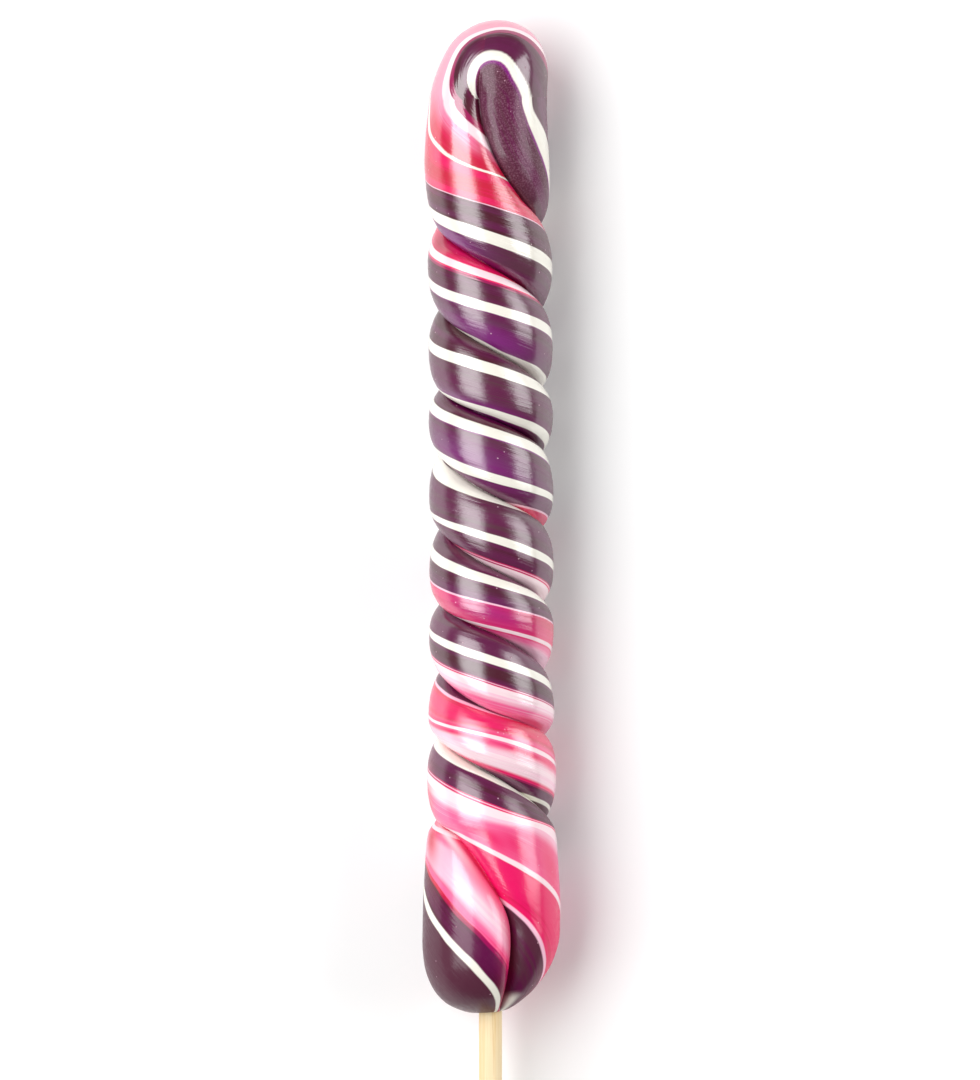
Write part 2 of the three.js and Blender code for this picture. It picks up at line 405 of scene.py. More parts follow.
# %% Keep the creases sharp and smooth the rest
outer_ring = len(SOCKET_HEIGHTS) + 2
crease_end = len(rings) - FOLD_RINGS // 2
sharp = candy.data.attributes.new("crease_edge", "FLOAT", "EDGE")
for edge, value in zip(candy.data.edges, sharp.data):
    a, b = edge.vertices
    along = step_of[a] == step_of[b] and step_of[a] % STRAND_STEPS == 0
    value.value = 1.0 if along and outer_ring <= min(ring_of[a], ring_of[b]) < crease_end else 0.0

smoothing = candy.modifiers.new("smoothing", "SUBSURF")
smoothing.levels = smoothing.render_levels = 2
bpy.ops.object.mode_set(mode="EDIT")
bpy.ops.mesh.select_all(action="SELECT")
bpy.ops.mesh.normals_make_consistent(inside=False)
bpy.ops.object.mode_set(mode="OBJECT")
bpy.ops.object.modifier_apply(modifier="smoothing")
candy.data.attributes.remove(candy.data.attributes["crease_edge"])
print("smoothed:", len(candy.data.vertices), "vertices,", len(candy.data.polygons), "faces")

# %% [markdown]
# ## The stripes' course
#
# The rope was rolled striped and then twisted, so every stripe runs the whole length, from one
# rope end over the fold to the other. Measured across a strand, in degrees, the stripes slowly
# wander as the height changes, because the rope also rolled in the hand. `wander` says how far.
# Taking it away leaves the `stripe` number: it is the same all along one stripe.

# %% How the stripes wander
front_wander = smooth_through([
    (0, -318), (4, -309), (10, -290), (16, -271), (22, -255), (28, -249), (34, -235), (44, -172),
    (50, -140), (56, -125), (64, -119), (70, -107), (76, -83), (86, -35), (92, -20), (101, 0),
    (108, 45), (114, 88), (119, 106), (132, 115), (138, 116), (143, 136), (148, 150), (158, 184),
    (166, 201), (180, 186), (188, 187), (196, 190),
])
back_wander = smooth_through([
    (4, -282), (12, -259), (20, -240), (28, -216), (36, -188), (44, -169), (56, -162),
    (72, -113), (88, -86), (104, -52), (120, -16), (136, 0), (150, 46), (160, 66),
    (168, 81), (173, 99), (176, 121), (179, 149), (182, 177), (186, 200), (190, 212), (196, 216),
])

# In the fold: how far over the rope is bent, in degrees from the back leg, and then the stripe
# number of a few edges and how far round the rope from the front crease each lies there.
FOLD_STATIONS = (0, 30, 60, 90, 120, 150, 180)
FOLD_EDGES = [
    (-228, (-12, -9, 0, 30, 36, 39, 49)),
    (-216, (0, 4, 27, 40, 44, 47, 60)),
    (-199, (17, 33, 49, 58, 66, 82, 131)),
    (-190, (26, 39, 52, 61, 71, 93, 143)),
    (-171, (45, 52, 62, 67, 80, 110, 172)),
]


def fold_stripe(height, radius, turn):
    climb = fold_climb(height)
    over = np.degrees(np.arctan2(climb * LOBE_RADIUS, -radius * np.sin(np.radians(turn))))
    depth = -radius * np.cos(np.radians(turn))
    round_rope = 90 - np.degrees(np.arctan2(depth, fold_bend(climb, radius, turn)))
    numbers = [number for number, _ in FOLD_EDGES]
    edges = [smooth_through(zip(FOLD_STATIONS, places))(over) for _, places in FOLD_EDGES]
    stripe = numbers[0] + round_rope - edges[0]
    for i in range(len(edges) - 1):
        share = (round_rope - edges[i]) / (edges[i + 1] - edges[i])
        along = numbers[i] + (numbers[i + 1] - numbers[i]) * share
        stripe = np.where(round_rope > edges[i], along, stripe)
    return np.where(round_rope > edges[-1], numbers[-1] + round_rope - edges[-1], stripe)


for strand, wander in (("front", front_wander), ("back", back_wander)):
    print(strand, "strand: the stripes wander by", round(float(wander(196) - wander(4))), "degrees")

# %% [markdown]
# ## Number every corner
#
# A stripe number is kept at each corner of each face, not at each vertex, because the two strands
# count differently and meet in the creases. Where the legs leave the fold, a few stripes don't
# follow the rest, so their numbers are changed a little there.


# %% Measure every face and corner
def corners_of(piece):
    """Vertex and face number of every corner."""
    vertex = np.empty(len(piece.data.loops), int)
    piece.data.loops.foreach_get("vertex_index", vertex)
    count = np.empty(len(piece.data.polygons), int)
    piece.data.polygons.foreach_get("loop_total", count)
    return vertex, np.repeat(np.arange(len(count)), count)


def face_centres(piece):
    centres = np.empty(3 * len(piece.data.polygons), np.float32)
    piece.data.polygons.foreach_get("center", centres)
    return centres.reshape(-1, 3).astype(float)


points = get_points(candy)
vertex_of, face_of = corners_of(candy)
height_v, radius_v, turn_v = measure(points)
height_f, _, turn_f = measure(face_centres(candy))
front_face = turn_f < 180
fold_face = height_f > CROTCH_HEIGHT

# A corner's turn is counted from that of its face, so that none jumps from 360 back to 0.
turn_c = turn_f[face_of] + (turn_v[vertex_of] - turn_f[face_of] + 180) % 360 - 180
height_c, radius_c = height_v[vertex_of], radius_v[vertex_of]
is_front = front_face[face_of]
across = np.where(is_front, turn_c, turn_c - 180)
twisted = across - np.where(is_front, front_wander(height_c), back_wander(height_c))

# %% Change a few stripes where the legs leave the fold
# The front strand's cream stripe is thinner there, and the back strand's pale one slides over to
# the crease.
THINNED = ((-141, -70, -59), (-141, -88, -59))  # stripe numbers, and what they count as instead
SLID = ((-260, -195, -149), (-242, -177, -149))
THINNED_FROM, THINNED_FULLY = 184, 195  # mm
SLID_FULLY = 188


def recount(numbers, counted, amount):
    before, instead = counted
    within = (numbers > before[0]) & (numbers < before[-1])
    return numbers + within * amount * (np.interp(numbers, before, instead) - numbers)


twisted = recount(twisted, THINNED, is_front * smoothstep(height_c, THINNED_FROM, THINNED_FULLY))
twisted = recount(twisted, SLID, ~is_front * (1 - smoothstep(height_c, SLID_FULLY, CROTCH_HEIGHT)))

# The front strand's next cream stripe keeps close to the crease instead of following the others.
NUDGES = ((148, 28, 13), (139, 45, -12))  # height, stripe number, by how much
NUDGE_REACH, NUDGE_SPREAD = 4, 25  # mm, stripe numbers
for at_height, number, by in NUDGES:
    off = ((height_c - at_height) / NUDGE_REACH) ** 2 + ((twisted - number) / NUDGE_SPREAD) ** 2
    twisted = twisted + by * np.exp(-off) * is_front
folded = fold_stripe(height_c, radius_c, turn_c)
stripe_c = np.where(fold_face[face_of], folded, twisted)
print(len(stripe_c), "corners,", int(fold_face[face_of].sum()), "of them in the fold")

# %% Go over from the fold to the front strand
# Beyond the middle of its inner white stripe the fold goes on with the front strand's numbers,
# which run the other way, so that nothing changes where the fold meets that strand.
INNER_WHITE, SAME_IN_FRONT = -222, -65
stripe_f = np.bincount(face_of, stripe_c) / np.bincount(face_of)
tongue_face = fold_face & (stripe_f < INNER_WHITE)
stripe_c = np.where(tongue_face[face_of], SAME_IN_FRONT + INNER_WHITE - folded, stripe_c)
front_sugar = (front_face & ~fold_face) | tongue_face
print("stripe numbers from", stripe_c.min().round(), "to", stripe_c.max().round())

# %% [markdown]
# ## Hand-made surface
#
# Pulled sugar is never quite even. The strands swell and thin a little, and fine ribs run along
# the stripes. Both are real relief, so every vertex is moved: first out to the radius that its
# place calls for, because smoothing pulls a mesh in, and then by the lumps and ribs.
# The crowns underneath are pressed flat where the candy lay while it set.

# %% Lumps, ribs and flats
LUMP_HEIGHT, LUMP_SIZE = 0.14, 11.0  # mm
RIB_HEIGHT, RIB_DEGREES, RIB_LENGTH = 0.05, 13.0, 60.0  # mm, degrees across, mm along
SMOOTH_BESIDE_CREASE = 8  # degrees
HELD, FREE = 0.45, 0.62  # share of the radius: the socket stays as it is, the outside moves

# Where corners with different numbers meet at a vertex, the lowest counts for its rib. Blender may
# order the corners anew on each run, so the last one would not always be the same.
stripe_v = np.full(len(points), np.inf)
np.minimum.at(stripe_v, vertex_of, stripe_c)
lumps = np.array([noise.noise(Vector(p)) for p in points / (LUMP_SIZE * MM)])
ribs = np.array(
    [noise.noise(Vector((s / RIB_DEGREES, h / RIB_LENGTH, 0))) for s, h in zip(stripe_v, height_v)]
)
away_from_crease = 1 - near_crease(turn_v, SMOOTH_BESIDE_CREASE)
wanted = candy_radius(height_v, turn_v) + LUMP_HEIGHT * lumps + RIB_HEIGHT * ribs * away_from_crease
outside = smoothstep(radius_v / (LOBE_RADIUS * thickness(height_v)), HELD, FREE)
scale = 1 + outside * (wanted / np.maximum(radius_v, 1e-6) - 1)
centre = np.stack([MIDDLE_X + drift(height_v), points[:, 1] / MM, axis_lift(height_v)], axis=-1) * MM
moved = centre + (points - centre) * np.stack([scale, np.ones_like(scale), scale], axis=-1)
moved[:, 2] = np.maximum(moved[:, 2], 0)
set_points(candy, moved)
bpy.ops.object.shade_smooth()
print("moved by up to", round(float(np.abs(moved - points).max()) / MM, 2), "mm")

# %% [markdown]
# ## Soft patches of dye, and of painted glow
#
# In the pink stretches the dye was kneaded in unevenly: crimson and hot pink clouds lie in the
# paler sugar. The violet clouds on the dark bands are painted light instead: a lit glow, laid where
# the strands face up towards the windows. Each cloud is a soft spot, given by its strand, its place
# round the axis in half turns, its place across the strand in degrees, its size in both, its colour
# and its strength.
# Noise could scatter such spots, but not where this lollipop has them. They are laid over each
# other on a colour attribute that the sugar's material reads, which is fine enough for soft edges.


# %% Dyes
def dye(red, green, blue):
    """A colour as seen, 0 to 255, as the linear light that materials work in."""
    seen = np.array([red, green, blue]) / 255
    return tuple(np.where(seen <= 0.04045, seen / 12.92, ((seen + 0.055) / 1.055) ** 2.4))


CREAM = dye(240, 236, 224)
PALE = dye(248, 220, 226)
BLUSH = dye(246, 190, 212)
ROSE = dye(240, 98, 150)
HOT_PINK = dye(230, 8, 96)
CRIMSON = dye(200, 0, 54)
MAGENTA = dye(152, 2, 82)
VIOLET = dye(130, 26, 124)
PURPLE = dye(92, 6, 64)
PLUM = dye(84, 36, 56)
DARK_PLUM = dye(72, 2, 32)
WINE = dye(150, 0, 44)
DUSTY_ROSE = dye(228, 138, 164)
print("hot pink, as light:", [round(float(c), 3) for c in HOT_PINK])

# %% Lay the clouds of dye and of painted glow
CLOUDS_AND_PAINTED_GLOW = [
    # strand, half turns, degrees across, size in each, colour, strength
    ("back", -0.9, 66, 0.08, 24, CRIMSON, 0.8),
    ("back", -0.5, 14, 0.07, 12, CRIMSON, 0.8),
    # Painted light: this violet cloud is a lit glow where a dark band faces up towards the windows.
    ("back", -0.75, 158, 0.22, 26, VIOLET, 0.8),
    ("front", 0.12, 14, 0.12, 26, WINE, 0.75),
    # Painted light: these violet clouds are a lit glow where dark bands face the windows, not dye.
    ("front", 0.5, 158, 0.3, 34, VIOLET, 0.8),
    ("back", 1.4, 160, 0.3, 24, VIOLET, 0.7),
    ("front", 2.4, 120, 0.4, 40, VIOLET, 0.6),
    ("front", 4.5, 120, 0.3, 40, VIOLET, 0.6),
    ("front", 6.72, 20, 0.14, 30, CRIMSON, 0.9),
    ("front", 6.2, 104, 0.06, 12, HOT_PINK, 0.8),
    ("front", 6.86, 96, 0.08, 16, HOT_PINK, 0.8),
    ("front", 6.5, 110, 0.1, 10, ROSE, 0.6),
    ("back", 7.06, 120, 0.08, 50, CRIMSON, 0.8),
    ("back", 7.5, 136, 0.09, 12, HOT_PINK, 0.9),
    ("back", 7.62, 124, 0.08, 14, HOT_PINK, 0.8),
    ("back", 7.85, 106, 0.12, 24, HOT_PINK, 0.85),
    ("front", 8.07, 33, 0.1, 22, CRIMSON, 0.95),
    ("front", 8.4, 2, 0.2, 14, HOT_PINK, 0.9),
    ("front", 8.62, 0, 0.2, 12, HOT_PINK, 0.9),
    ("front", 8.2, 8, 0.16, 4, PALE, 0.9),
]


LEAST_CLOUD = 0.01  # anything thinner can't be seen and is left out
clouds_and_glow_rgba = np.zeros((len(height_c), 4))


def lay_cloud(amount, colour):
    amount = np.where(amount > LEAST_CLOUD, amount, 0)[:, None]
    clouds_and_glow_rgba[:] = clouds_and_glow_rgba * (1 - amount) + np.array([*colour, 1.0]) * amount


half_turn_c = half_turns(height_c) - across / 180
# The violet clouds laid here are painted light, a lit glow; the others are dye.
for strand, round_axis, degrees, width, breadth, colour, strength in CLOUDS_AND_PAINTED_GLOW:
    on_strand = is_front if strand == "front" else ~is_front
    away = ((half_turn_c - round_axis) / width) ** 2 + ((across - degrees) / breadth) ** 2
    lay_cloud(strength * np.exp(-away) * on_strand, colour)

# Over the top of the fold the outer pink is pale and dusty.
DUSTY_STRENGTH, DUSTY_STRIPE = 0.9, -182
DUSTY_FROM, DUSTY_FULLY = 190, 200  # mm
dusty = DUSTY_STRENGTH * smoothstep(height_c, DUSTY_FROM, DUSTY_FULLY) * (stripe_c > DUSTY_STRIPE)
dusty = dusty * ~front_sugar[face_of]
lay_cloud(dusty, DUSTY_ROSE)

# The back rope end is tipped with cream beside the front one.
TIP_STRIPE, TIP_WIDTH = 449, 8.0
TIP_HEIGHT, TIP_SOFTNESS = 5.0, 2.0  # mm
tip = np.exp(-(((stripe_c - TIP_STRIPE) / TIP_WIDTH) ** 2))
tip = tip * smoothstep(TIP_HEIGHT - height_c, 0, TIP_SOFTNESS)
lay_cloud(tip * ~is_front, CREAM)
print("clouds touch", round(100 * float((clouds_and_glow_rgba[:, 3] > 0).mean())), "% of the corners")

# %% [markdown]
# A material can't run Python, but it can read attributes. So the measures are written to the mesh
# under names that the sugar's nodes ask for.


# %% Write the measures that the materials read
def corner_attribute(name, kind, field, values):
    attribute = candy.data.attributes.new(name, kind, "CORNER")
    attribute.data.foreach_set(field, np.asarray(values, np.float32).ravel())
    print(name, "runs from", round(float(values.min()), 2), "to", round(float(values.max()), 2))


corner_attribute("stripe", "FLOAT", "value", stripe_c)
corner_attribute("height", "FLOAT", "value", height_c)
corner_attribute("clouds", "FLOAT_COLOR", "color", clouds_and_glow_rgba)

# %% [markdown]
# ## The sugar's material
#
# The stripes are crisp, so they can't be stored on the vertices, which lie half a millimetre
# apart. Instead the material reads the stripe number and looks up the dye for it at every point.
# A colour ramp would do the same for a few stripes, but here every edge has its own softness and
# every band its own streaks. So the dyes are laid one after the other, each from its own edge on,
# then the clouds, and the white stripes last.


# %% Helpers for materials
def add_node(tree, kind, settings=(), **inputs):
    """A node with its settings made and its inputs set, or linked where given a socket."""
    made = tree.nodes.new(kind)
    for name, value in dict(settings).items():
        setattr(made, name, value)
    for name, value in inputs.items():
        socket = made.inputs[int(name[1:])] if name[0] == "i" and name[1:].isdigit() else made.inputs[name]
        if isinstance(value, bpy.types.NodeSocket):
            tree.links.new(value, socket)
        else:
            socket.default_value = value
    return made


def math_node(tree, operation, a, b=0.0, clamp=False):
    settings = {"operation": operation, "use_clamp": clamp}
    return add_node(tree, "ShaderNodeMath", settings, i0=a, i1=b).outputs[0]


def as_colour(value):
    return value if isinstance(value, bpy.types.NodeSocket) else (*value, 1.0)


def mix(tree, amount, under, over):
    made = add_node(tree, "ShaderNodeMix", {"data_type": "RGBA"}, i0=amount)
    for socket, value in ((made.inputs[6], as_colour(under)), (made.inputs[7], as_colour(over))):
        if isinstance(value, bpy.types.NodeSocket):
            tree.links.new(value, socket)
        else:
            socket.default_value = value
    return made.outputs[2]


def rise(tree, value, start, end):
    """0 before start, 1 after end, with a smooth step between."""
    settings = {"interpolation_type": "SMOOTHSTEP"}
    return add_node(tree, "ShaderNodeMapRange", settings, i0=value, i1=start, i2=end).outputs[0]


def attribute(tree, name):
    return add_node(tree, "ShaderNodeAttribute", {"attribute_name": name})


def new_material(name):
    material = bpy.data.materials.new(name)
    material.use_nodes = True
    tree = material.node_tree
    return material, tree, tree.nodes["Principled BSDF"]


# %% The dyes across each strand
# Dyes: the stripe number where each begins, its two tones, the share of the second, and how
# many degrees the change to it takes to either side.
FRONT_DYES = [
    (-400, CRIMSON, HOT_PINK, 0.6, 1),
    (-148, MAGENTA, MAGENTA, 0.0, 1),
    (-141, DARK_PLUM, PURPLE, 0.5, 1),
    (-73, VIOLET, PURPLE, 0.3, 1),
    (-56, PLUM, PURPLE, 0.4, 2),
    (47, PURPLE, DARK_PLUM, 0.4, 1),
    (122, CRIMSON, HOT_PINK, 0.6, 1),
    (190, ROSE, HOT_PINK, 0.5, 12),
    (222, HOT_PINK, ROSE, 0.6, 4),
    (238, PALE, BLUSH, 0.6, 10),
    (292, HOT_PINK, ROSE, 0.4, 5),
    (302, MAGENTA, CRIMSON, 0.3, 1),
    (307, PURPLE, DARK_PLUM, 0.4, 1),
    (335, PLUM, PLUM, 0.0, 1),
]
BACK_DYES = [
    (-400, PLUM, PLUM, 0.0, 1),
    (-222, PURPLE, DARK_PLUM, 0.5, 1),
    (-199, MAGENTA, MAGENTA, 0.0, 1),
    (-180, BLUSH, ROSE, 0.5, 1),
    (-168, HOT_PINK, CRIMSON, 0.5, 8),
    (-50, DARK_PLUM, PURPLE, 0.3, 1),
    (39, PURPLE, PLUM, 0.4, 1),
    (168, PURPLE, DARK_PLUM, 0.4, 1),
    (226, MAGENTA, HOT_PINK, 0.5, 1),
    (249, PALE, BLUSH, 0.5, 1),
    (272, BLUSH, ROSE, 0.6, 10),
    (343, HOT_PINK, CRIMSON, 0.2, 1),
    (407, PLUM, PURPLE, 0.3, 1),
]
# White stripes: from, to, their tone.
FRONT_WHITES = [
    (-173, -153, PALE),
    (-88, -59, CREAM),
    (35, 62, CREAM),
    (119, 125, BLUSH),
    (205, 217, PALE),
    (331, 340, CREAM),
]
BACK_WHITES = [
    (-228, -216, CREAM),
    (-190, -177, PALE),
    (-149, -143, CREAM),
    (-50, -47, BLUSH),
    (22, 55, CREAM),
    (158, 180, CREAM),
    (229, 231, BLUSH),
    (235, 256, PALE),
    (339, 348, PALE),
    (405, 410, BLUSH),
]
print("bands of dye:", len(FRONT_DYES), "in front,", len(BACK_DYES), "behind")

# %% [markdown]
# Pulled sugar is full of fine streaks, because air and dye are drawn out along the rope. They
# are noise that is squeezed across the stripes and stretched along them, and they choose between
# the two tones of each band.

# %% Streaks along the stripes
FINE_STREAKS = (3.0, 50.0, 2.0)  # degrees wide, millimetres long, detail
BROAD_STREAKS = (24.0, 22.0, 1.0)
BROAD_SHARE = 0.7
STREAKS_FROM, STREAKS_FULLY = 0.62, 0.82  # less half the share of a band's second tone
WAVER_SCALE, WAVER_DEGREES = 140.0, 4.0  # how the edges waver
EDGE_SOFTNESS = 1.2  # degrees to either side of a white stripe's edge


def pulled_noise(tree, stripe, height, degrees, millimetres, detail):
    across = math_node(tree, "DIVIDE", stripe, degrees)
    along = math_node(tree, "DIVIDE", height, millimetres)
    pulled = add_node(tree, "ShaderNodeCombineXYZ", X=across, Y=along).outputs[0]
    return add_node(tree, "ShaderNodeTexNoise", Vector=pulled, Scale=1.0, Detail=detail).outputs[0]


def streaks_of(tree, stripe, height):
    fine = pulled_noise(tree, stripe, height, *FINE_STREAKS)
    broad = pulled_noise(tree, stripe, height, *BROAD_STREAKS)
    return add_node(tree, "ShaderNodeMix", i0=BROAD_SHARE, i2=fine, i3=broad).outputs[0]


def wavering(tree, stripe, place):
    noisy = add_node(tree, "ShaderNodeTexNoise", Vector=place, Scale=WAVER_SCALE, Detail=1.0).outputs[0]
    waver = math_node(tree, "MULTIPLY", math_node(tree, "SUBTRACT", noisy, 0.5), WAVER_DEGREES)
    return math_node(tree, "ADD", stripe, waver)


# %% Dyes, clouds and white stripes, laid over each other
def lay_dyes(tree, number, streaks, dyes):
    colour = None
    for start, main, second, share, softness in dyes:
        tone = rise(tree, streaks, STREAKS_FROM - share / 2, STREAKS_FULLY - share / 2)
        band = mix(tree, tone, main, second)
        if colour is None:
            colour = band
        else:
            begun = rise(tree, number, start - softness, start + softness)
            colour = mix(tree, begun, colour, band)
    return colour


def lay_clouds_and_glow(tree, colour, clouds):
    """The attribute holds each cloud's colour times its strength, so the strength is divided out again."""
    strength = clouds.outputs["Alpha"]
    whole = add_node(tree, "ShaderNodeVectorMath", {"operation": "SCALE"}, Vector=clouds.outputs["Color"])
    tree.links.new(math_node(tree, "DIVIDE", 1.0, strength), whole.inputs["Scale"])
    amount = math_node(tree, "MULTIPLY", strength, 1.0, clamp=True)
    return mix(tree, amount, colour, whole.outputs[0])


def lay_whites(tree, number, colour, whites):
    for start, end, tone in whites:
        begun = rise(tree, number, start - EDGE_SOFTNESS, start + EDGE_SOFTNESS)
        over = rise(tree, number, end - EDGE_SOFTNESS, end + EDGE_SOFTNESS)
        colour = mix(tree, math_node(tree, "SUBTRACT", begun, over), colour, tone)
    return colour


# %% [markdown]
# Here and there a tiny bubble sits just below the surface: a pale speck that is also a shallow
# pit. Voronoi cells give each bubble a place, and only the few cells with a high random value
# get one. On the tongue of the fold the sugar has gone dull and is frosted with fine crystals.

# %% Bubbles and frost
CELLS_PER_METRE = 680.0
BUBBLE_CORE, BUBBLE_RIM = 0.06, 0.14  # shares of a cell
FEW_FROM, FEW_FULLY = 0.78, 0.8  # the random value from which a cell has a bubble
BUBBLE_PALENESS, FROST_PALENESS = 0.45, 0.1
FROST_SCALE, FROST_FROM, FROST_FULLY = 3000.0, 0.42, 0.72
DULL_OVER = 12.0  # mm of height over which the sugar turns dull
TONGUE_FROM, TONGUE_FULLY = -80.0, -60.0  # stripe numbers


def bubbles_of(tree, place):
    cells = add_node(tree, "ShaderNodeTexVoronoi", Vector=place, Scale=CELLS_PER_METRE)
    chance = add_node(tree, "ShaderNodeSeparateColor", Color=cells.outputs["Color"]).outputs["Red"]
    outside = rise(tree, cells.outputs["Distance"], BUBBLE_CORE, BUBBLE_RIM)
    spot = math_node(tree, "SUBTRACT", 1.0, outside)
    return math_node(tree, "MULTIPLY", rise(tree, chance, FEW_FROM, FEW_FULLY), spot)


def frost_of(tree, place):
    crystals = add_node(tree, "ShaderNodeTexNoise", Vector=place, Scale=FROST_SCALE, Detail=2.0)
    return rise(tree, crystals.outputs[0], FROST_FROM, FROST_FULLY)


def dullness(tree, stripe, height, dull_from):
    high_up = rise(tree, height, dull_from, dull_from + DULL_OVER)
    return math_node(tree, "MULTIPLY", high_up, rise(tree, stripe, TONGUE_FROM, TONGUE_FULLY))


# %% [markdown]
# The surface of hard candy shines twice: softly from the sugar and strongly from its glossy skin.
# A single gloss would be either too sharp or too dull, so the material has a soft base below a
# coat with a high index. The pulled, paler sugar shines more than the dark, and the coat thins
# out towards the rope ends and on the frosted tongue.

# %% The glossy skin
THREADS = (2.5, 7.0, 2.0)  # degrees wide, millimetres long, detail
THREAD_STRENGTH, THREAD_RELIEF = 0.5, 0.12 * MM
GRAIN_SCALE, GRAIN_STRENGTH, GRAIN_RELIEF = 900.0, 0.3, 0.05 * MM
PIT_STRENGTH, PIT_RELIEF = 0.5, 0.1 * MM
GRAIN_LOW, GRAIN_HIGH = 0.3, 0.7
SMOOTHEST, ROUGHEST = 0.3, 0.45
DARK_SHINE, PALE_SHINE = 0.6, 0.8
DARK_REDNESS, PALE_REDNESS = 0.2, 0.6
ENDS_SHINE, ENDS_UP_TO, GLOSSY_FROM = 0.2, 15.0, 60.0  # share, mm, mm
DULL_SHINE = 0.2


def scaled(tree, value, start, end, first, last):
    made = add_node(tree, "ShaderNodeMapRange", i0=value, i1=start, i2=end, i3=first, i4=last)
    return made.outputs[0]


def layered_relief(tree, layers):
    normal = None
    for height, strength, distance in layers:
        bump = add_node(tree, "ShaderNodeBump", Height=height, Strength=strength, Distance=distance)
        if normal is not None:
            tree.links.new(normal, bump.inputs["Normal"])
        normal = bump.outputs[0]
    return normal


def shine_of(tree, colour, height, dull):
    redness = add_node(tree, "ShaderNodeSeparateColor", Color=colour).outputs["Red"]
    shine = scaled(tree, redness, DARK_REDNESS, PALE_REDNESS, DARK_SHINE, PALE_SHINE)
    gloss = scaled(tree, height, ENDS_UP_TO, GLOSSY_FROM, ENDS_SHINE, 1.0)
    gloss = math_node(tree, "MULTIPLY", gloss, scaled(tree, dull, 0.0, 1.0, 1.0, DULL_SHINE))
    return math_node(tree, "MULTIPLY", shine, gloss)


def give_skin(tree, surface, threads, grain, bubbles, shine):
    relief = layered_relief(tree, [
        (threads, THREAD_STRENGTH, THREAD_RELIEF),
        (grain, GRAIN_STRENGTH, GRAIN_RELIEF),
        (bubbles, PIT_STRENGTH, PIT_RELIEF),
    ])
    tree.links.new(relief, surface.inputs["Normal"])
    tree.links.new(relief, surface.inputs["Coat Normal"])
    roughness = scaled(tree, grain, GRAIN_LOW, GRAIN_HIGH, SMOOTHEST, ROUGHEST)
    tree.links.new(roughness, surface.inputs["Roughness"])
    tree.links.new(shine, surface.inputs["Coat Weight"])
    surface.inputs["IOR"].default_value = 1.3
    surface.inputs["Coat IOR"].default_value = 2.3
    surface.inputs["Coat Roughness"].default_value = 0.16


# %% [markdown]
# Now all of it is laid together, from the deepest colour to the outermost skin. Both strands share
# this one recipe and differ only in their tables, and in the height from which they are dull.

# %% Sugar for each strand
TONGUE_HEIGHT = 168.0  # mm


def sugar(name, dyes, whites, dull_from):
    material, tree, surface = new_material(name)
    stripe = attribute(tree, "stripe").outputs["Fac"]
    height = attribute(tree, "height").outputs["Fac"]
    place = add_node(tree, "ShaderNodeTexCoord").outputs["Object"]

    number = wavering(tree, stripe, place)
    colour = lay_dyes(tree, number, streaks_of(tree, stripe, height), dyes)
    # The clouds are dye, except the violet ones: painted light, a lit glow on the dark bands.
    colour = lay_clouds_and_glow(tree, colour, attribute(tree, "clouds"))
    colour = lay_whites(tree, number, colour, whites)
    bubbles = bubbles_of(tree, place)
    colour = mix(tree, math_node(tree, "MULTIPLY", bubbles, BUBBLE_PALENESS), colour, BLUSH)
    dull = dullness(tree, stripe, height, dull_from)
    frosted = math_node(tree, "MULTIPLY", frost_of(tree, place), dull)
    colour = mix(tree, math_node(tree, "MULTIPLY", frosted, FROST_PALENESS), colour, BLUSH)
    tree.links.new(colour, surface.inputs["Base Color"])

    threads = pulled_noise(tree, stripe, height, *THREADS)
    grain = add_node(tree, "ShaderNodeTexNoise", Vector=place, Scale=GRAIN_SCALE, Detail=3.0).outputs[0]
    give_skin(tree, surface, threads, grain, bubbles, shine_of(tree, colour, height, dull))
    return material


candy.data.materials.append(sugar("sugar_front_strand", FRONT_DYES, FRONT_WHITES, TONGUE_HEIGHT))
candy.data.materials.append(sugar("sugar_back_strand", BACK_DYES, BACK_WHITES, CANDY_LENGTH))
candy.data.polygons.foreach_set("material_index", np.where(front_sugar, 0, 1))
candy.data.update()
for material in candy.data.materials:
    print(material.name, "has", len(material.node_tree.nodes), "nodes")

# %% [markdown]
# ## The stick
#
# A plain turned wooden rod. A cylinder is the start: its rims are bevelled, because a cut end is
# never razor-sharp, and it is cut into short lengths. Then the soft wood between the fibres is sunk
# a little in the mesh itself, since a sanded stick is never quite smooth, and bump alone would
# leave its outline straight.

# %% Model the stick
STICK_SIDES, STICK_CUTS, RIM, RIM_STEPS = 64, 90, 0.5, 3
stick_length = stick_high.y - stick_low.y
bpy.ops.object.select_all(action="DESELECT")
bpy.ops.mesh.primitive_cylinder_add(
    vertices=STICK_SIDES,
    radius=STICK_RADIUS * MM,
    depth=stick_length,
    location=(MIDDLE_X * MM, (stick_high.y + stick_low.y) / 2, STICK_LIFT * MM),
    rotation=(math.radians(90), 0, 0),
)
bpy.ops.object.transform_apply(location=True, rotation=True)
stick = start_piece("wooden_stick")
bpy.ops.mesh.select_mode(type="EDGE")


def select_edges(piece, wanted):
    """Select the edges whose length along Y is wanted, and stay in edit mode."""
    bpy.ops.mesh.select_all(action="DESELECT")
    bpy.ops.object.mode_set(mode="OBJECT")
    for edge in piece.data.edges:
        a, b = (piece.data.vertices[v].co for v in edge.vertices)
        edge.select = wanted(abs(a.y - b.y))
    bpy.ops.object.mode_set(mode="EDIT")


select_edges(stick, lambda length: length < stick_length / 2)  # the rims
bpy.ops.mesh.bevel(offset=RIM * MM, segments=RIM_STEPS, affect="EDGES")
select_edges(stick, lambda length: length > stick_length / 2)  # the long sides
bpy.ops.mesh.subdivide(number_cuts=STICK_CUTS)
bpy.ops.mesh.select_all(action="SELECT")
bpy.ops.mesh.normals_make_consistent(inside=False)
bpy.ops.object.mode_set(mode="OBJECT")
print("stick:", len(stick.data.vertices), "vertices")

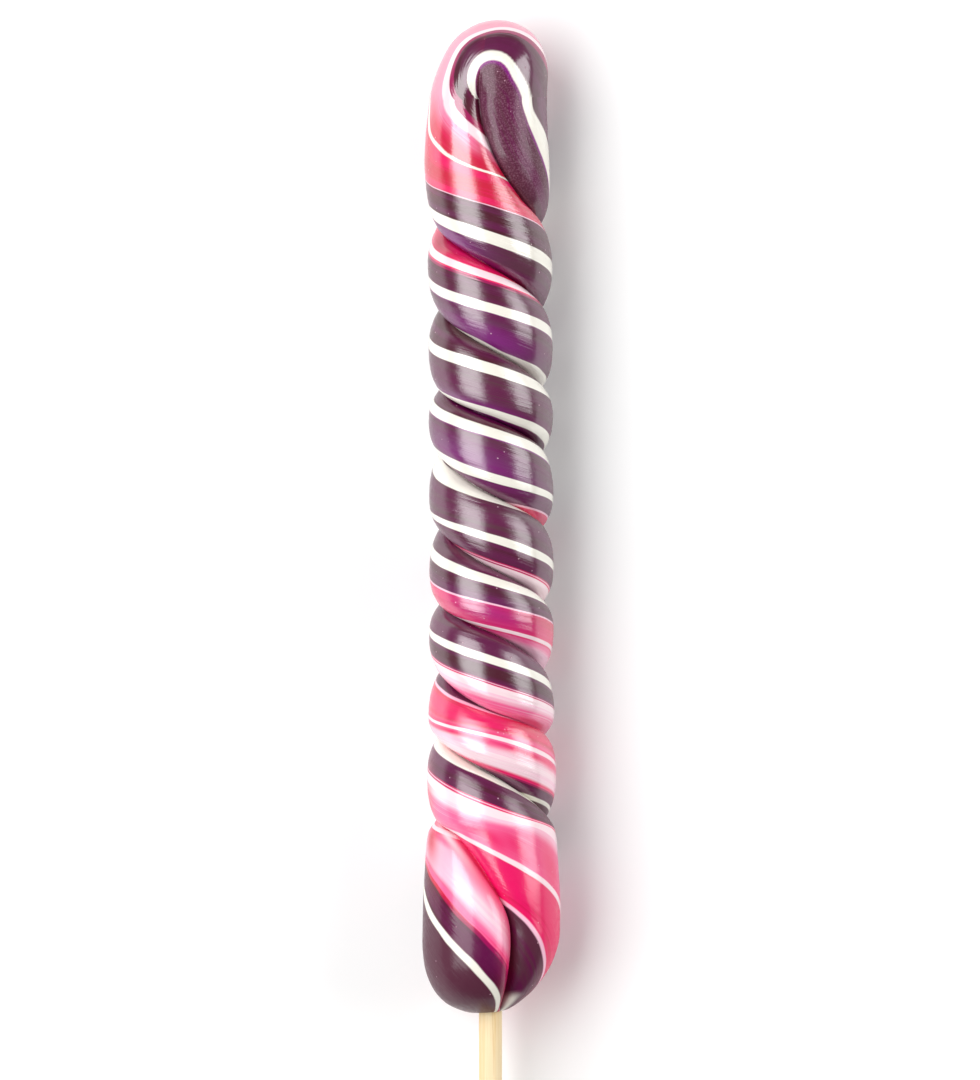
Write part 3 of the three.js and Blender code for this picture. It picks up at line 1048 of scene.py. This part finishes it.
# %% Sink the wood between its fibres
GRAIN_DEPTH, GRAIN_WIDTH, GRAIN_LENGTH = 0.03, 0.5, 40.0  # mm
SIDE_FROM = 0.8  # share of the radius: inside it, the cut ends stay flat
SMOOTH_ANGLE = 35  # degrees
places = get_points(stick)
core = np.array([MIDDLE_X * MM, 0, STICK_LIFT * MM])
offset = places - core
offset[:, 1] = 0
grain = np.array([
    noise.noise(Vector((x / GRAIN_WIDTH, y / GRAIN_LENGTH, z / GRAIN_WIDTH))) for x, y, z in places / MM
])
reach = np.linalg.norm(offset, axis=1)[:, None]
sunk = (grain[:, None] - 1) * GRAIN_DEPTH * MM * offset / np.maximum(reach, 1e-9)
set_points(stick, places + sunk * (reach > SIDE_FROM * STICK_RADIUS * MM))
bpy.ops.object.select_all(action="DESELECT")
stick.select_set(True)
bpy.context.view_layer.objects.active = stick
bpy.ops.object.shade_smooth_by_angle(angle=math.radians(SMOOTH_ANGLE))
print("the wood is sunk by up to", round(float(np.abs(sunk).max()) / MM, 3), "mm")

# %% [markdown]
# The wood is pale, with long fibres. A picture of wood would have to be wrapped round, but noise
# fills space and fits at once. Two noises are stretched fifty times along the stick: a broad one
# for its cream and straw bands, and a fine one for the thin brown fibres, which gives the bump too.

# %% Pale wood
CREAM_WOOD, STRAW_WOOD, FIBRE = dye(238, 218, 178), dye(229, 198, 144), dye(208, 164, 102)
ALONG_THE_STICK = (1.0, 0.02, 1.0)
FIBRES_PER_METRE, BANDS_PER_METRE = 2600.0, 520.0
STRAW_FROM, STRAW_FULLY = 0.35, 0.65
FIBRE_FROM, FIBRE_FULLY = 0.56, 0.74


def pale_wood():
    material, tree, surface = new_material("pale_wood")
    place = add_node(tree, "ShaderNodeTexCoord").outputs["Object"]
    stretched = add_node(tree, "ShaderNodeMapping", Vector=place, Scale=ALONG_THE_STICK).outputs[0]
    fine = add_node(tree, "ShaderNodeTexNoise", Vector=stretched, Scale=FIBRES_PER_METRE, Detail=5.0)
    broad = add_node(tree, "ShaderNodeTexNoise", Vector=stretched, Scale=BANDS_PER_METRE, Detail=2.0)
    straw = rise(tree, broad.outputs[0], STRAW_FROM, STRAW_FULLY)
    fibres = rise(tree, fine.outputs[0], FIBRE_FROM, FIBRE_FULLY)
    colour = mix(tree, fibres, mix(tree, straw, CREAM_WOOD, STRAW_WOOD), FIBRE)
    tree.links.new(colour, surface.inputs["Base Color"])
    surface.inputs["Roughness"].default_value = 0.55
    bump = add_node(tree, "ShaderNodeBump", Height=fine.outputs[0], Strength=0.4, Distance=0.08 * MM)
    tree.links.new(bump.outputs[0], surface.inputs["Normal"])
    return material


stick.data.materials.append(pale_wood())
print("the stick is made of", stick.data.materials[0].name)

# %% [markdown]
# ## Tie the pieces to the frame
#
# Each piece stands for its solid in the imported model and moves with the model's only body.

# %% Ride and replace
for piece, node, slot in ((candy, "candy", "candy"), (stick, "stick", "stick")):
    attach(piece, "root")
    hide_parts(node)
    print(piece.name, "replaces", node)

# %% [markdown]
# ## Floor, light and camera
#
# A plain pale floor, and two broad windows of light: a large one on the left and a smaller one on
# the right. A glossy rod shows each window as a long streak, so they give each strand its two
# highlights, and their angles decide where those lie. A little light from all round keeps the
# shadows soft. The camera hangs far above and looks straight down through a long lens, so that no
# crown is drawn nearer than the rest.


# %% Floor
FLOOR_SIZE = 6  # metres
FLOOR_GREY, FLOOR_WHITE = (0.92, 0.92, 0.92), (0.94, 0.94, 0.94)


def pale_floor():
    material, tree, surface = new_material("pale_floor")
    place = add_node(tree, "ShaderNodeTexCoord").outputs["Object"]
    cloudy = add_node(tree, "ShaderNodeTexNoise", Vector=place, Scale=30.0).outputs[0]
    tree.links.new(mix(tree, cloudy, FLOOR_GREY, FLOOR_WHITE), surface.inputs["Base Color"])
    surface.inputs["Roughness"].default_value = 0.9
    surface.inputs["Specular IOR Level"].default_value = 0.1
    return material


bpy.ops.object.select_all(action="DESELECT")
bpy.ops.mesh.primitive_plane_add(size=FLOOR_SIZE)
floor = bpy.context.object
floor.name = "floor"
floor.data.materials.append(pale_floor())
print("the floor is", FLOOR_SIZE, "m wide")


# %% Lights
WINDOW_DISTANCE = 1.2  # metres
CANDY_MIDDLE = Vector((0, 0.07, 0))
ROOM_LIGHT = 0.14


def window_light(name, across, along, width, height, power):
    """An area light aimed at the candy, at two angles in degrees from straight up: to +X and +Y."""
    data = bpy.data.lights.new(name, "AREA")
    data.shape = "RECTANGLE"
    data.size, data.size_y = width, height
    data.energy = power
    light = bpy.data.objects.new(name, data)
    across, along = math.radians(across), math.radians(along)
    towards = Vector((
        math.sin(across) * math.cos(along), math.sin(along), math.cos(across) * math.cos(along)
    ))
    light.location = CANDY_MIDDLE + WINDOW_DISTANCE * towards
    light.rotation_euler = towards.to_track_quat("Z", "Y").to_euler()
    bpy.context.scene.collection.objects.link(light)
    print(name, "hangs at", [round(c, 2) for c in light.location])


window_light("window_left", across=-37, along=7, width=1.75, height=0.95, power=23.0)
window_light("window_right", across=61, along=12, width=1.1, height=0.75, power=10.0)
world = bpy.data.worlds.new("soft_room")
world.use_nodes = True
world.node_tree.nodes["Background"].inputs["Color"].default_value = (1, 1, 1, 1)
world.node_tree.nodes["Background"].inputs["Strength"].default_value = ROOM_LIGHT
bpy.context.scene.world = world
bpy.context.scene.view_settings.view_transform = "Standard"

# %% Camera
IMAGE_HEIGHT_MM = 232.2  # what the picture shows from top to bottom, at the candy's axis
VIEW_CENTRE = (-0.28 * MM, 60.0 * MM)
CAMERA_DISTANCE = 6.0  # metres
camera_data = bpy.data.cameras.new("camera")
camera_data.sensor_fit = "VERTICAL"
camera_data.sensor_height = 24
camera_data.lens = CAMERA_DISTANCE * camera_data.sensor_height / (IMAGE_HEIGHT_MM * MM)
camera_data.clip_start, camera_data.clip_end = 0.05, 20
camera = bpy.data.objects.new("camera", camera_data)
camera.location = (*VIEW_CENTRE, STICK_LIFT * MM + CAMERA_DISTANCE)
bpy.context.scene.collection.objects.link(camera)
bpy.context.scene.camera = camera
print("lens", round(camera_data.lens, 1), "mm")
